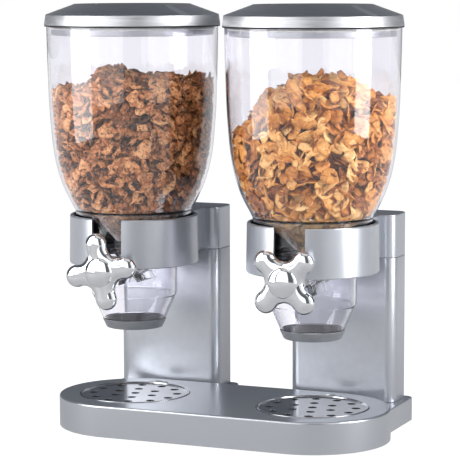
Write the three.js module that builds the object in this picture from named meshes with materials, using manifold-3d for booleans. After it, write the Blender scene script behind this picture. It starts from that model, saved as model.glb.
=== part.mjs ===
// Twin cereal dispenser: two clear hoppers with lift-off lids stand side by side in slotted
// collars on hollow columns. Each has a paddle wheel turned by a four-lobed knob, and drops
// its cereal over a round crumb tray let into one long base. Millimetres, +Z up, front at -Y.
import * as THREE from 'three';
import { mergeVertices } from 'three/addons/utils/BufferGeometryUtils.js';
import Module from 'manifold-3d';

const wasm = await Module();
wasm.setup();

// Overall layout
const UNIT_SPACING = 176;
const AXIS_Y = -17.4;
const ROUND = 32;
const SMALL_ROUND = 14;
const GAP = 0.3;

// Base platform: a stadium with one end centred on each unit's axis
const BASE_R = 70.2;
const BASE_TOP = 30;
const BASE_BOTTOM = 1.2;
const BASE_EDGE = 2;
const BASE_WALL = 3;
const WELL_R = 51;
const WELL_FLOOR = 15;
const WELL_WALL = 3.2;
const NOTCH_R = 9;
const NOTCH_FLOOR = 24;
const CUP_FLOOR_T = 2.4;

// Screws under the base, [x, y] from the unit's axis, x growing outwards
const PLATE_SCREWS = [['front', 24, -46], ['middle', 24, 46]];
const FOOT_SCREW = [0, 95];
const PLATE_BOTTOM = 2.3;
const PLATE_TOP = 4.3;
const SCREW_BOTTOM = 1;
const SCREW_HEAD_R = 3.5;
const SCREW_SHANK_R = 1.5;
const SCREW_TIP = 9;
const SCREW_SIDES = 8;
const PAD_R = 7;
const PAD_HEIGHT = 2;

// Crumb tray
const TRAY_R = 50.5;
const TRAY_PLATE_TOP = 29.2;
const TRAY_RIM_TOP = 30.6;
const TRAY_WALL = 1.6;
const TRAY_HOLE_R = 3.9;
const TRAY_RINGS = [[0, 1], [19.6, 6], [39, 12]];
const TRAY_TURN = THREE.MathUtils.degToRad(16);

// Column and the lower foot behind the platform
const FOOT_HALF_WIDTH = 58;
const FOOT_TOP = 22.8;
const FOOT_FRONT = 20;
const FOOT_BACK = 115;
const FOOT_CORNER = 8;
const FOOT_PLATE_FRONT = 78;
const COLUMN_HALF_WIDTH = 51.5;
const COLUMN_FRONT = 74;
const COLUMN_BACK = 112.5;
const COLUMN_CORNER = 10;
const COLUMN_WALL = 2.5;
const SEAM_Z = 157.5;

// Collar bracket: cap, short arm and slotted collar in one moulding
const BRACKET_TOP = 197;
const COLLAR_BOTTOM = 153;
const COLLAR_R_TOP = 58.6;
const COLLAR_R_BOTTOM = 59.3;
const COLLAR_BORE = 55.4;
const COLLAR_SLOT = 29.2;
const ARM_HALF_WIDTH = 38.5;
const ARM_FRONT = 40;
const LEDGE_R = 49.5;
const LEDGE_Z = 163;
const LEDGE_T = 2.4;

// Hopper, funnel and chute
const CLEAR_WALL = 2;
const NECK_R = 53.4;
const NECK_BOTTOM = 166;
const HOPPER_RIM = 371.7;
const FUNNEL_R = 50.9;
const FUNNEL_TOP = 204;
const FUNNEL_WALL = 1.5;
const FUNNEL_THROAT_R = 16.5;
const FUNNEL_THROAT_Z = [173.2, 175];
const CHUTE_R = 39.5;
const CHUTE_WALL = 2.2;
const CHUTE_TOP = 170.5;
const CHUTE_SHOULDER = 128.5;
const CHUTE_BOTTOM = 100.9;
const FLANGE_R = 51;
const FLANGE_T = 2.5;
const OUTLET_R = 29.2;
const OUTLET_BOTTOM = 92.6;

// Agitator: knob, shaft and paddle wheel on one axis
const KNOB_Z = 151.5;
const SHAFT_R = 4.1;
const BORE_R = SHAFT_R + GAP;
const BUSH_R = 11;
const BUSH_FACE = 40.3;
const FRONT_BUSH_END = 60.2;
const REAR_BUSH_END = 44.5;
const BUSH_SPIGOT_R = 5.7;
const BUSH_SPIGOT_END = 36.8;
const SHAFT_BACK = 42;
const HUB_R = 9;
const PADDLE_R = 20;
const PADDLE_HALF_LENGTH = 19.7;
const VANES = 6;
const VANE_T = 1.8;
const KNOB_BACK = -62;
const KNOB_FRONT = -74;
const KNOB_LOBE_AT = 24.8;
const KNOB_LOBE_R = 10.1;
const KNOB_WEB_AT = 28.9;
const KNOB_CAP_R = 13.5;
const KNOB_CAP_FRONT = -78.6;
const KNOB_TURN = { left: -11.5, right: -46 };

// Lid
const LID_BOTTOM = 370;
const LID_R = 80.2;
const LID_TOP = 389;
const PLUG_R = 74;
const PLUG_BOTTOM = 361;
const PLUG_TOP = 378.7;
const PLUG_WALL = 1.5;
const SEAL_Z = 367.2;

// Materials
const silver = { color: 0xaeb3ba, roughness: 0.32, metalness: 0.75 };
const platformGrey = { color: 0x8d9299, roughness: 0.22, metalness: 0.7 };
const darkPlastic = { color: 0x24262a, roughness: 0.6, metalness: 0 };
const clear = { color: 0xf2f5f7, roughness: 0.08, metalness: 0, transparent: true, opacity: 0.3 };
const greyPlastic = { color: 0x777b80, roughness: 0.45, metalness: 0 };
const silicone = { color: 0xd8d8d2, roughness: 0.7, metalness: 0 };
const chrome = { color: 0xe4e6e8, roughness: 0.06, metalness: 1 };
const steel = { color: 0xa6a9ad, roughness: 0.35, metalness: 1 };
const rubber = { color: 0x17181a, roughness: 0.85, metalness: 0 };

// A closed geometry becomes a solid: its vertices are merged and its faces turned outwards.
function solid(geometry) {
  const bare = geometry.clone();
  bare.deleteAttribute('normal');
  bare.deleteAttribute('uv');
  const merged = mergeVertices(bare, 1e-4);
  const points = Float32Array.from(merged.attributes.position.array);
  const corners = [];
  let volume = 0;
  const a = new THREE.Vector3();
  const b = new THREE.Vector3();
  const c = new THREE.Vector3();
  for (let i = 0; i < merged.index.count; i += 3) {
    const [p, q, r] = [0, 1, 2].map((k) => merged.index.getX(i + k));
    if (p === q || q === r || r === p) continue;
    corners.push([p, q, r]);
    a.fromArray(points, 3 * p);
    b.fromArray(points, 3 * q);
    c.fromArray(points, 3 * r);
    volume += a.dot(b.cross(c));
  }
  const facing = volume < 0 ? corners.map(([p, q, r]) => [p, r, q]) : corners;
  const triVerts = Uint32Array.from(facing.flat());
  return new wasm.Manifold(new wasm.Mesh({ numProp: 3, vertProperties: points, triVerts }));
}

function union(parts) {
  return parts.reduce((whole, part) => whole.add(part));
}

// Solid of revolution about +Z from a closed profile of [radius, z].
function turned(profile, segments = ROUND) {
  const points = [...profile, profile[0]].map(([r, z]) => new THREE.Vector2(r, z));
  return solid(new THREE.LatheGeometry(points, segments).rotateX(Math.PI / 2));
}

// The same about the agitator's axis: profile of [radius, y], turned about +Y at KNOB_Z.
function turnedOnShaft(profile, segments = SMALL_ROUND) {
  const points = [...profile, profile[0]].map(([r, y]) => new THREE.Vector2(r, y));
  return solid(new THREE.LatheGeometry(points, segments).translate(0, 0, KNOB_Z));
}

function disc(radius, z0, z1, x = 0, y = 0, segments = ROUND) {
  const cylinder = new THREE.CylinderGeometry(radius, radius, z1 - z0, segments);
  return solid(cylinder.rotateX(Math.PI / 2).translate(x, y, (z0 + z1) / 2));
}

function box(x0, x1, y0, y1, z0, z1) {
  const block = new THREE.BoxGeometry(x1 - x0, y1 - y0, z1 - z0);
  return solid(block.translate((x0 + x1) / 2, (y0 + y1) / 2, (z0 + z1) / 2));
}

// A flat outline raised from z0 to z1, with its top and bottom edges rounded by edge.
function raised(shape, z0, z1, edge = 0, curveSegments = 3) {
  const geometry = new THREE.ExtrudeGeometry(shape, {
    depth: z1 - z0 - 2 * edge,
    bevelEnabled: edge > 0,
    bevelThickness: edge,
    bevelSize: edge,
    bevelOffset: -edge,
    bevelSegments: 2,
    curveSegments,
  });
  return solid(geometry.translate(0, 0, z0 + edge));
}

function stadium(radius) {
  const half = UNIT_SPACING / 2;
  const shape = new THREE.Shape();
  shape.absarc(half, AXIS_Y, radius, -Math.PI / 2, Math.PI / 2, false);
  shape.absarc(-half, AXIS_Y, radius, Math.PI / 2, 1.5 * Math.PI, false);
  return shape;
}

function roundedRect(halfWidth, y0, y1, corner) {
  const shape = new THREE.Shape();
  shape.absarc(halfWidth - corner, y1 - corner, corner, 0, Math.PI / 2, false);
  shape.absarc(-halfWidth + corner, y1 - corner, corner, Math.PI / 2, Math.PI, false);
  shape.absarc(-halfWidth + corner, y0 + corner, corner, Math.PI, 1.5 * Math.PI, false);
  shape.absarc(halfWidth - corner, y0 + corner, corner, 1.5 * Math.PI, 2 * Math.PI, false);
  return shape;
}

function addMesh(group, name, body, look) {
  const mesh = body.getMesh();
  const geometry = new THREE.BufferGeometry();
  geometry.setAttribute('position', new THREE.BufferAttribute(mesh.vertProperties, 3));
  geometry.setIndex(new THREE.BufferAttribute(mesh.triVerts, 1));
  geometry.computeVertexNormals();
  const item = new THREE.Mesh(geometry, new THREE.MeshStandardMaterial(look));
  item.name = name;
  group.add(item);
}

// ---- Base ----

function makePlatform() {
  const shell = raised(stadium(BASE_R), BASE_BOTTOM, BASE_TOP, BASE_EDGE, 16);
  const hollow = raised(stadium(BASE_R - BASE_WALL), 0, BASE_TOP - BASE_WALL, 0, 16);
  let platform = shell.subtract(hollow);
  for (const x of [-UNIT_SPACING / 2, UNIT_SPACING / 2]) {
    const notchY = AXIS_Y + WELL_R + 1;
    const cups = [
      [WELL_R, WELL_FLOOR, WELL_WALL, AXIS_Y, ROUND],
      [NOTCH_R, NOTCH_FLOOR, CUP_FLOOR_T, notchY, SMALL_ROUND],
    ];
    for (const [radius, floor, wall, y, sides] of cups) {
      platform = platform.add(
        disc(radius + wall, floor - CUP_FLOOR_T, BASE_TOP - 1, x, y, sides),
      );
    }
    for (const [radius, floor, , y, sides] of cups) {
      platform = platform.subtract(disc(radius, floor, BASE_TOP + 1, x, y, sides));
    }
  }
  return platform;
}

function makeFoot(x) {
  const outline = (inset) =>
    roundedRect(
      FOOT_HALF_WIDTH - inset, FOOT_FRONT + inset, FOOT_BACK - inset, FOOT_CORNER - inset,
    );
  const around = raised(stadium(BASE_R + GAP), 0, BASE_TOP + 1, 0, 16).translate([-x, -AXIS_Y, 0]);
  const clearance = raised(stadium(BASE_R + GAP + BASE_WALL), 0, BASE_TOP, 0, 16);
  const block = raised(outline(0), BASE_BOTTOM, FOOT_TOP).subtract(around);
  const hollow = raised(outline(BASE_WALL), 0, FOOT_TOP - BASE_WALL);
  return block.subtract(hollow.subtract(clearance.translate([-x, -AXIS_Y, 0])));
}

// The plates that close the underside, with a clearance hole at each screw.
function makePlate(shape, screws, curveSegments) {
  const hole = SCREW_SHANK_R + 0.4;
  const holes = screws.map(([x, y]) => disc(hole, 0, PLATE_TOP + 2, x, y, SCREW_SIDES));
  return raised(shape, PLATE_BOTTOM, PLATE_TOP, 0, curveSegments).subtract(union(holes));
}

function makeScrew(x, y) {
  const profile = [
    [0, SCREW_BOTTOM], [SCREW_HEAD_R - 0.7, SCREW_BOTTOM], [SCREW_HEAD_R, SCREW_BOTTOM + 1],
    [SCREW_SHANK_R, SCREW_BOTTOM + 1], [SCREW_SHANK_R, SCREW_TIP], [0, SCREW_TIP],
  ];
  return turned(profile, SCREW_SIDES).translate([x, y, 0]);
}

// ---- Column and collar bracket, about the unit's axis ----

function columnOutline(inset) {
  return roundedRect(
    COLUMN_HALF_WIDTH - inset, COLUMN_FRONT + inset, COLUMN_BACK - inset, COLUMN_CORNER - inset,
  );
}

function makeColumn() {
  const skin = raised(columnOutline(0), FOOT_TOP + GAP, SEAM_Z - GAP);
  return skin.subtract(raised(columnOutline(COLUMN_WALL), FOOT_TOP - 1, SEAM_Z + 1));
}

function makeBracket() {
  const height = BRACKET_TOP - COLLAR_BOTTOM;
  const collar = solid(
    new THREE.CylinderGeometry(COLLAR_R_TOP, COLLAR_R_BOTTOM, height, ROUND)
      .rotateX(Math.PI / 2)
      .translate(0, 0, COLLAR_BOTTOM + height / 2),
  );
  const cap = raised(columnOutline(0), SEAM_Z, BRACKET_TOP);
  const armBack = COLUMN_FRONT + 8;
  const arm = box(-ARM_HALF_WIDTH, ARM_HALF_WIDTH, ARM_FRONT, armBack, SEAM_Z, BRACKET_TOP);
  const roof = BRACKET_TOP - COLUMN_WALL;
  const capHollow = raised(columnOutline(COLUMN_WALL), SEAM_Z - 1, roof);
  const armInner = ARM_HALF_WIDTH - COLUMN_WALL;
  const armCore = box(-armInner, armInner, ARM_FRONT, armBack, SEAM_Z - 1, roof);
  const armHollow = armCore.subtract(collar);
  const bore = disc(COLLAR_BORE, COLLAR_BOTTOM - 1, BRACKET_TOP + 1);
  const ledge = turned([
    [LEDGE_R, LEDGE_Z], [COLLAR_BORE + 1, LEDGE_Z],
    [COLLAR_BORE + 1, LEDGE_Z + LEDGE_T], [LEDGE_R, LEDGE_Z + LEDGE_T],
  ]);
  const half = COLLAR_SLOT / 2;
  const slot = box(
    -half, half, -COLLAR_R_BOTTOM - 10, -LEDGE_R + 10, COLLAR_BOTTOM - 1, BRACKET_TOP + 1,
  );
  return union([cap, arm, collar])
    .subtract(union([capHollow, armHollow]))
    .subtract(bore)
    .add(ledge)
    .subtract(slot);
}

// ---- Canister ----

function makeHopper() {
  const outer = [
    [NECK_R, NECK_BOTTOM], [NECK_R, 199], [60.5, 214.5], [65.6, 226],
    [70.1, 241], [74.1, 266], [76.6, 303], [78.2, HOPPER_RIM],
  ];
  const inner = outer.map(([r, z]) => [r - CLEAR_WALL, z]).reverse();
  return turned([...outer, ...inner]);
}

function makeFunnel() {
  const skirt = FUNNEL_R - FUNNEL_WALL;
  const [throatBottom, throatTop] = FUNNEL_THROAT_Z;
  return turned([
    [FUNNEL_R, CHUTE_TOP + GAP], [FUNNEL_R, FUNNEL_TOP],
    [FUNNEL_THROAT_R, throatTop], [FUNNEL_THROAT_R, throatBottom],
    [skirt, FUNNEL_TOP - 2 * FUNNEL_WALL], [skirt, CHUTE_TOP + GAP],
  ]);
}

function makeChute() {
  const inner = CHUTE_R - CHUTE_WALL;
  const shell = turned([
    [FLANGE_R, CHUTE_TOP], [FLANGE_R, CHUTE_TOP - FLANGE_T],
    [CHUTE_R, CHUTE_TOP - FLANGE_T], [CHUTE_R, CHUTE_SHOULDER], [37.9, 122], [34.6, 113.6],
    [OUTLET_R, CHUTE_BOTTOM], [OUTLET_R - CHUTE_WALL, CHUTE_BOTTOM], [32.4, 114.3], [35.7, 122.7],
    [inner, CHUTE_SHOULDER], [inner, CHUTE_TOP],
  ]);
  const hole = BUSH_SPIGOT_R + GAP;
  const end = BUSH_FACE + 5;
  const shaftHole = turnedOnShaft([[0, -end], [hole, -end], [hole, end], [0, end]]);
  return shell.subtract(shaftHole);
}

function makeOutletRing() {
  return turned([
    [25.9, OUTLET_BOTTOM], [OUTLET_R, CHUTE_BOTTOM - 1.2], [OUTLET_R, CHUTE_BOTTOM - GAP],
    [26, CHUTE_BOTTOM - GAP], [24.1, OUTLET_BOTTOM],
  ]);
}

// ---- Agitator, about +Y through KNOB_Z ----

// A bearing bush on one wall of the chute: side is -1 at the front and 1 at the rear.
function makeBush(side, outerEnd, blind) {
  const profile = [
    [BORE_R, BUSH_SPIGOT_END], [BUSH_SPIGOT_R, BUSH_SPIGOT_END], [BUSH_SPIGOT_R, BUSH_FACE],
    [BUSH_R, BUSH_FACE], [BUSH_R, outerEnd],
  ];
  const capInside = outerEnd - 1.5;
  const end = blind ? [[0, outerEnd], [0, capInside], [BORE_R, capInside]] : [[BORE_R, outerEnd]];
  return turnedOnShaft([...profile, ...end].map(([r, y]) => [r, side * y]));
}

function makeHub() {
  const end = PADDLE_HALF_LENGTH + 0.6;
  return turnedOnShaft([[BORE_R, -end], [HUB_R, -end], [HUB_R, end], [BORE_R, end]]);
}

function makePaddleWheel() {
  const sleeve = HUB_R + 2.2;
  const halfT = VANE_T / 2;
  const shape = new THREE.Shape();
  const root = Math.asin(halfT / sleeve);
  for (let i = 0; i < VANES; i += 1) {
    const angle = (i * 2 * Math.PI) / VANES;
    const along = new THREE.Vector2(Math.cos(angle), Math.sin(angle));
    const across = new THREE.Vector2(-along.y, along.x).multiplyScalar(halfT);
    const tip = along.clone().multiplyScalar(PADDLE_R - halfT);
    const first = tip.clone().sub(across);
    if (i === 0) shape.moveTo(sleeve * Math.cos(-root), sleeve * Math.sin(-root));
    shape.lineTo(first.x, first.y);
    shape.absarc(tip.x, tip.y, halfT, angle - Math.PI / 2, angle + Math.PI / 2, false);
    shape.absarc(0, 0, sleeve, angle + root, angle + (2 * Math.PI) / VANES - root, false);
  }
  const geometry = new THREE.ExtrudeGeometry(shape, {
    depth: 2 * PADDLE_HALF_LENGTH,
    bevelEnabled: false,
    curveSegments: 2,
  });
  geometry.translate(0, 0, -PADDLE_HALF_LENGTH).rotateX(Math.PI / 2).translate(0, 0, KNOB_Z);
  const end = PADDLE_HALF_LENGTH + 1;
  const bore = HUB_R + GAP;
  return solid(geometry).subtract(turnedOnShaft([[0, -end], [bore, -end], [bore, end], [0, end]]));
}

function makeShaft() {
  const front = KNOB_BACK - 5.5;
  return turnedOnShaft([[0, SHAFT_BACK], [SHAFT_R, SHAFT_BACK], [SHAFT_R, front], [0, front]]);
}

// Four lobes joined by hollow webs; each web arc touches the two lobes beside it.
function knobShape() {
  const shape = new THREE.Shape();
  const reach = KNOB_WEB_AT * Math.SQRT1_2;
  const webR = Math.hypot(KNOB_LOBE_AT - reach, reach) - KNOB_LOBE_R;
  const lean = Math.atan2(reach, reach - KNOB_LOBE_AT);
  for (let i = 0; i < 4; i += 1) {
    const angle = (i * Math.PI) / 2;
    const lobe = [KNOB_LOBE_AT * Math.cos(angle), KNOB_LOBE_AT * Math.sin(angle)];
    const diagonal = angle + Math.PI / 4;
    const web = [KNOB_WEB_AT * Math.cos(diagonal), KNOB_WEB_AT * Math.sin(diagonal)];
    const webStart = angle + lean + Math.PI;
    const webEnd = angle + Math.PI / 2 - lean + Math.PI;
    shape.absarc(lobe[0], lobe[1], KNOB_LOBE_R, angle - lean, angle + lean, false);
    shape.absarc(web[0], web[1], webR, webStart, webEnd, true);
  }
  return shape;
}

function makeKnob() {
  const edge = 3.6;
  const geometry = new THREE.ExtrudeGeometry(knobShape(), {
    depth: KNOB_BACK - KNOB_FRONT - 2 * edge,
    bevelThickness: edge,
    bevelSize: edge,
    bevelOffset: -edge,
    bevelSegments: 2,
    curveSegments: 4,
  });
  geometry.translate(0, 0, edge - KNOB_BACK).rotateX(Math.PI / 2).translate(0, 0, KNOB_Z);
  const [mouth, end] = [KNOB_BACK + 2, KNOB_BACK - 6];
  const bore = turnedOnShaft([[0, mouth], [BORE_R, mouth], [BORE_R, end], [0, end]]);
  return solid(geometry).subtract(bore);
}

function makeKnobCap() {
  const back = KNOB_FRONT - GAP;
  const rise = back - KNOB_CAP_FRONT;
  const profile = [[0, back], [KNOB_CAP_R, back]];
  for (let i = 1; i < 4; i += 1) {
    const t = (i * Math.PI) / 8;
    profile.push([KNOB_CAP_R * Math.cos(t), back - rise * Math.sin(t)]);
  }
  profile.push([0, KNOB_CAP_FRONT]);
  return turnedOnShaft(profile, 20);
}

// ---- Lid ----

function makeLidShell() {
  return turned([
    [LID_R - 1.2, LID_BOTTOM], [LID_R, LID_BOTTOM], [LID_R - 1.4, LID_BOTTOM + 9.4],
    [LID_R - 2.2, LID_BOTTOM + 10.2], [54.6, LID_TOP - 0.8], [53.4, LID_TOP],
    [50.8, LID_TOP - 1.2], [0, LID_TOP - 1.2], [0, LID_TOP - 2.6], [53, LID_TOP - 2.6],
    [LID_R - 2.6, LID_BOTTOM + 8.4],
  ]);
}

function makeLidPlug() {
  const [inner, under] = [PLUG_R - PLUG_WALL, PLUG_TOP - PLUG_WALL];
  return turned([
    [PLUG_R, PLUG_BOTTOM], [PLUG_R, PLUG_TOP], [0, PLUG_TOP], [0, under],
    [inner, under], [inner, PLUG_BOTTOM],
  ]);
}

function makeLidSeal() {
  const root = PLUG_R + GAP;
  return turned([[root, SEAL_Z - 1.2], [root + 1.5, SEAL_Z], [root, SEAL_Z + 1.2]]);
}

// ---- Crumb tray ----

function makeTray() {
  const inner = TRAY_R - TRAY_WALL;
  const foot = WELL_FLOOR + 0.4;
  const under = TRAY_PLATE_TOP - TRAY_WALL;
  let tray = turned([
    [TRAY_R, foot], [TRAY_R, TRAY_RIM_TOP], [inner, TRAY_RIM_TOP],
    [inner - 0.8, TRAY_PLATE_TOP], [0, TRAY_PLATE_TOP],
    [0, under], [inner, under], [inner, foot],
  ]);
  for (const [radius, count] of TRAY_RINGS) {
    for (let i = 0; i < count; i += 1) {
      const angle = Math.PI / 2 + TRAY_TURN + (i * 2 * Math.PI) / count;
      const [x, y] = [radius * Math.cos(angle), radius * Math.sin(angle)];
      tray = tray.subtract(disc(TRAY_HOLE_R, TRAY_PLATE_TOP - 3, TRAY_PLATE_TOP + 1, x, y, 9));
    }
  }
  return tray;
}

// ---- Assembly ----

const dispenser = new THREE.Group();

addMesh(dispenser, 'base_platform', makePlatform(), platformGrey);
const plateShape = stadium(BASE_R - BASE_WALL - GAP);
const plateScrews = [-1, 1].flatMap((sign) =>
  PLATE_SCREWS.map(([, x, y]) => [sign * (UNIT_SPACING / 2 + x), AXIS_Y + y]),
);
addMesh(dispenser, 'base_plate', makePlate(plateShape, plateScrews, 16), darkPlastic);

for (const [side, sign] of [['left', -1], ['right', 1]]) {
  const axisX = (sign * UNIT_SPACING) / 2;
  const unit = new THREE.Group();
  unit.position.set(axisX, AXIS_Y, 0);
  dispenser.add(unit);

  addMesh(unit, `column_foot_${side}`, makeFoot(axisX), silver);
  const footInset = BASE_WALL + GAP;
  const footShape = roundedRect(
    FOOT_HALF_WIDTH - footInset, FOOT_PLATE_FRONT, FOOT_BACK - footInset - GAP,
    FOOT_CORNER - footInset,
  );
  addMesh(unit, `foot_plate_${side}`, makePlate(footShape, [FOOT_SCREW], 3), darkPlastic);
  addMesh(unit, `column_${side}`, makeColumn(), silver);
  addMesh(unit, `collar_bracket_${side}`, makeBracket(), silver);
  const pads = [['front', 0, -52], ['rear_a', -40, 100], ['rear_b', 40, 100]];
  for (const [place, x, y] of pads) {
    const pad = disc(PAD_R, 0, PAD_HEIGHT, x, y, SMALL_ROUND);
    addMesh(unit, `rubber_foot_${place}_${side}`, pad, rubber);
  }
  for (const [place, x, y] of PLATE_SCREWS) {
    addMesh(unit, `base_screw_${place}_${side}`, makeScrew(sign * x, y), steel);
  }
  addMesh(unit, `base_screw_rear_${side}`, makeScrew(...FOOT_SCREW), steel);

  addMesh(unit, `hopper_${side}`, makeHopper(), clear);
  addMesh(unit, `funnel_${side}`, makeFunnel(), clear);
  addMesh(unit, `chute_${side}`, makeChute(), clear);
  addMesh(unit, `outlet_ring_${side}`, makeOutletRing(), greyPlastic);
  addMesh(unit, `front_bush_${side}`, makeBush(-1, FRONT_BUSH_END, false), greyPlastic);
  addMesh(unit, `rear_bush_${side}`, makeBush(1, REAR_BUSH_END, true), greyPlastic);

  const agitator = new THREE.Group();
  const turn = THREE.MathUtils.degToRad(KNOB_TURN[side]);
  agitator.rotation.y = turn;
  agitator.position.set(-KNOB_Z * Math.sin(turn), 0, KNOB_Z * (1 - Math.cos(turn)));
  unit.add(agitator);
  addMesh(agitator, `paddle_hub_${side}`, makeHub(), greyPlastic);
  addMesh(agitator, `paddle_wheel_${side}`, makePaddleWheel(), silicone);
  addMesh(agitator, `drive_shaft_${side}`, makeShaft(), steel);
  addMesh(agitator, `knob_${side}`, makeKnob(), chrome);
  addMesh(agitator, `knob_cap_${side}`, makeKnobCap(), chrome);

  addMesh(unit, `lid_shell_${side}`, makeLidShell(), steel);
  addMesh(unit, `lid_plug_${side}`, makeLidPlug(), steel);
  addMesh(unit, `lid_seal_${side}`, makeLidSeal(), silicone);

  addMesh(unit, `crumb_tray_${side}`, makeTray(), steel);
}

export default dispenser;
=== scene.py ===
import math
import random

import bmesh
import bpy
import numpy as np
from mathutils import Matrix, Vector


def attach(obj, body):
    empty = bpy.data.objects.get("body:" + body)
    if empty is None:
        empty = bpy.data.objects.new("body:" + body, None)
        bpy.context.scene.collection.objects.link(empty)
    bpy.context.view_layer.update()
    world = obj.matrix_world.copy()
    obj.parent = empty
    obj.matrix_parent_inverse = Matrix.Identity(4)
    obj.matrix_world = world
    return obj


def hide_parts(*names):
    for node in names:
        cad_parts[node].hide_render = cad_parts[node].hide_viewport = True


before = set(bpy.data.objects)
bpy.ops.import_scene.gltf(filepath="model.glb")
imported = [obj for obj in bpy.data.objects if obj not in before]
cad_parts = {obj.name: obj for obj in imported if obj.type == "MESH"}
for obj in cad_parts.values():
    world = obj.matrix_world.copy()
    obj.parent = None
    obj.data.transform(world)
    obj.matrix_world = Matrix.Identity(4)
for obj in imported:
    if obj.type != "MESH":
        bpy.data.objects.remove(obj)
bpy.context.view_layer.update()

# Twin cereal dispenser. Lengths are millimetres in this file, and each mesh is scaled to metres
# as it is made. A unit's pieces are modelled about its own vertical axis, +Z up, front at -Y.
MM = 0.001
UNIT_X = {"left": -88.0, "right": 88.0}
AXIS_Y = -17.4

# Base
BASE_R = 70.2
BASE_TOP = 30.0
BASE_BOTTOM = 1.2
BASE_WALL = 3.0
WELL_R = 51.0
WELL_FLOOR = 15.0
NOTCH_R = 9.0
NOTCH_FLOOR = 24.0
FOOT_HALF = 58.0
FOOT_TOP = 22.8
FOOT_FRONT = 20.0
FOOT_BACK = 115.0
PAD_AT = {"front": (0, -52), "rear_a": (-40, 100), "rear_b": (40, 100)}

# Column and collar bracket
COLUMN_HALF = 51.5
COLUMN_FRONT = 74.0
COLUMN_BACK = 112.5
COLUMN_CORNER = 10.0
COLUMN_WALL = 2.5
SEAM_Z = 157.5
BRACKET_TOP = 197.0
COLLAR_BOTTOM = 153.0
COLLAR_R = 59.3
COLLAR_BORE = 55.4
COLLAR_SLOT = 29.2
LEDGE_BORE = 49.5
LEDGE_Z = (163.0, 165.4)
ARM_HALF = 38.5

# Agitator
KNOB_Z = 151.5
KNOB_TURN = {"left": -11.5, "right": -46.0}
PADDLE_TOP = 171.5

# Camera: place, aim as (yaw, pitch, roll) in radians, lens for a 36 mm wide sensor, and the
# shift of its frame as shares of the frame's width
CAMERA_AT = (759.0, -1775.4, 414.5)
CAMERA_AIM = (-0.405, -0.120, -0.003)
CAMERA_LENS = 166.8913
CAMERA_SHIFT = (0.006087, 0.004565)

# Outer surface of the clear hopper and chute as (radius, height), top first
HOPPER = [
    (78.2, 371.7), (77.5, 338), (76.6, 303), (75.2, 279.5), (73.3, 259), (70.1, 241),
    (65.6, 226), (60.5, 214.5), (54.6, 203), (53.4, 197), (53.4, 166),
]
CLEAR_WALL = 2.0
CHUTE = [(39.5, 168), (39.5, 128.5), (37.9, 122), (34.6, 113.6), (29.2, 100.9)]


# ---- Outlines ----

def smooth_curve(points, steps=5):
    """A Catmull-Rom curve through points of (radius, height)."""
    ends = [points[0]] + list(points) + [points[-1]]
    made = []
    for a, b, c, d in zip(ends, ends[1:], ends[2:], ends[3:]):
        for k in range(steps):
            t = k / steps
            made.append(tuple(
                0.5 * (2 * q + (r - p) * t + (2 * p - 5 * q + 4 * r - s) * t * t
                       + (3 * q - p - 3 * r + s) * t ** 3)
                for p, q, r, s in zip(a, b, c, d)
            ))
    made.append(tuple(points[-1]))
    return made


def rounded(points, radii, steps=5):
    """A closed outline with each corner rounded to its own radius."""
    made = []
    for i, (point, radius) in enumerate(zip(points, radii)):
        corner = Vector(point)
        if not radius:
            made.append(tuple(corner))
            continue
        back = Vector(points[i - 1]) - corner
        on = Vector(points[(i + 1) % len(points)]) - corner
        half = back.angle(on) / 2
        reach = min(radius / math.tan(half), back.length * 0.49, on.length * 0.49)
        radius = reach * math.tan(half)
        start = corner + back.normalized() * reach
        end = corner + on.normalized() * reach
        middle = (back.normalized() + on.normalized()).normalized()
        centre = corner + middle * (radius / math.sin(half))
        for k in range(steps + 1):
            out = (start - centre).lerp(end - centre, k / steps).normalized()
            made.append(tuple(centre + out * radius))
    return made


def arc(cx, cy, radius, start, end, steps):
    angles = [start + (end - start) * k / steps for k in range(steps + 1)]
    return [(cx + radius * math.cos(a), cy + radius * math.sin(a)) for a in angles]


def stadium(radius):
    """The base's outline: a half circle round each unit's axis."""
    quarter = math.pi / 2
    return (arc(UNIT_X["right"], AXIS_Y, radius, -quarter, quarter, 72)
            + arc(UNIT_X["left"], AXIS_Y, radius, quarter, 3 * quarter, 72))


def rectangle(half, front, back, corner):
    """A rounded rectangle, symmetrical about x = 0."""
    corner = max(corner, 0.4)
    quarter = math.pi / 2
    near, far = front + corner, back - corner
    side = half - corner
    return (arc(side, near, corner, -quarter, 0, 10) + arc(side, far, corner, 0, quarter, 10)
            + arc(-side, far, corner, quarter, 2 * quarter, 10)
            + arc(-side, near, corner, 2 * quarter, 3 * quarter, 10))


def column_outline(inset):
    return rectangle(COLUMN_HALF - inset, COLUMN_FRONT + inset, COLUMN_BACK - inset,
                     COLUMN_CORNER - inset)


def foot_outline(inset):
    return rectangle(FOOT_HALF - inset, FOOT_FRONT + inset, FOOT_BACK - inset, 8 - inset)


# ---- Meshes ----

def finish_mesh(piece, sharp=34.0):
    """Turns the faces outwards and shades the piece smooth between its sharp edges."""
    mesh = bmesh.new()
    mesh.from_mesh(piece.data)
    bmesh.ops.remove_doubles(mesh, verts=mesh.verts, dist=1e-7)
    bmesh.ops.recalc_face_normals(mesh, faces=mesh.faces)
    mesh.to_mesh(piece.data)
    mesh.free()
    piece.data.shade_smooth()
    piece.data.set_sharp_from_angle(angle=math.radians(sharp))
    return piece


def make(name, points, faces, sharp=34.0):
    """A piece from points in millimetres and the faces between them."""
    mesh = bpy.data.meshes.new(name)
    mesh.from_pydata([tuple(MM * c for c in p) for p in points], [], faces)
    mesh.validate()
    piece = bpy.data.objects.new(name, mesh)
    bpy.context.scene.collection.objects.link(piece)
    return finish_mesh(piece, sharp)


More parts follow.
